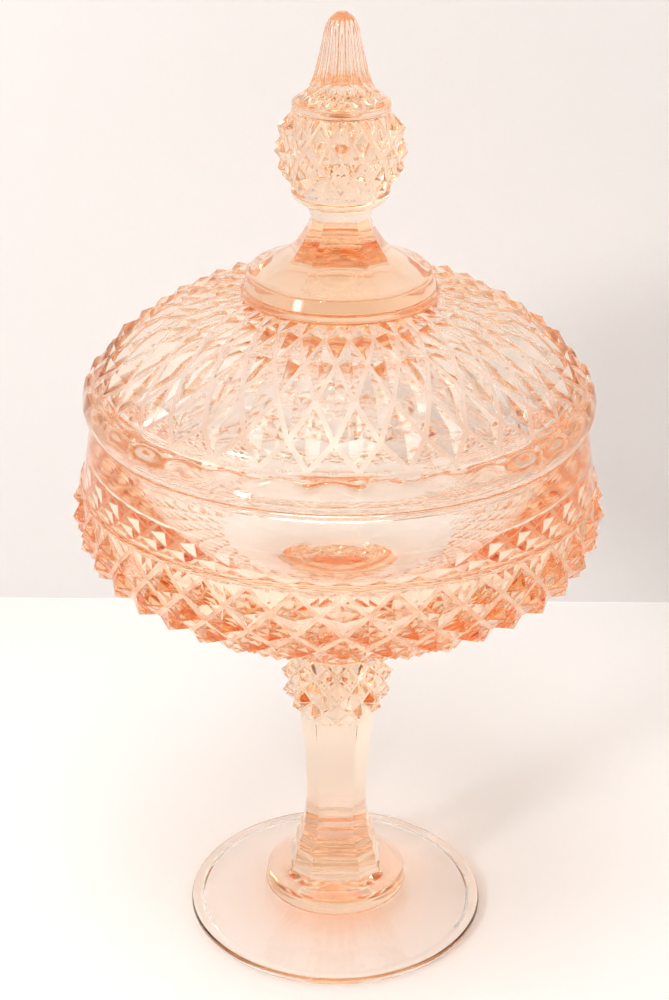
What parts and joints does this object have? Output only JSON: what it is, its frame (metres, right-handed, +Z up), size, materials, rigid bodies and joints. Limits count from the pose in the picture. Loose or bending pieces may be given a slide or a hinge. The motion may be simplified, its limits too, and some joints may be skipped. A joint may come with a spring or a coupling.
{
  "type": "covered candy dish",
  "caption": "Covered pressed-glass candy dish in peach glass: round foot, panelled stem, diamond-faceted bowl, lift-off domed lid with a spired finial.",
  "frame": {"origin": "centre of the foot ring, on the surface that the dish stands on", "axes": "+Z up along the stem to the finial's tip; -Y is the front, the side a wide stem panel faces; +X to the right"},
  "size_m": [0.1666, 0.1666, 0.305],
  "materials": {
    "peach_glass": "clear peach-pink pressed glass, fire-polished, tint deeper where the glass is thick"
  },
  "bodies": {
    "dish": {"foot": "peach_glass", "stem": "peach_glass", "knop": "peach_glass", "bowl": "peach_glass"},
    "lid": {"lid_dome": "peach_glass", "lid_crown": "peach_glass", "finial_ball": "peach_glass", "finial_cap": "peach_glass"}
  },
  "joints": [
    {"name": "lid_lift", "type": "slide", "parent": "dish", "child": "lid", "axis": [0, 0, 1], "range_m": [0, 0.15]}
  ]
}
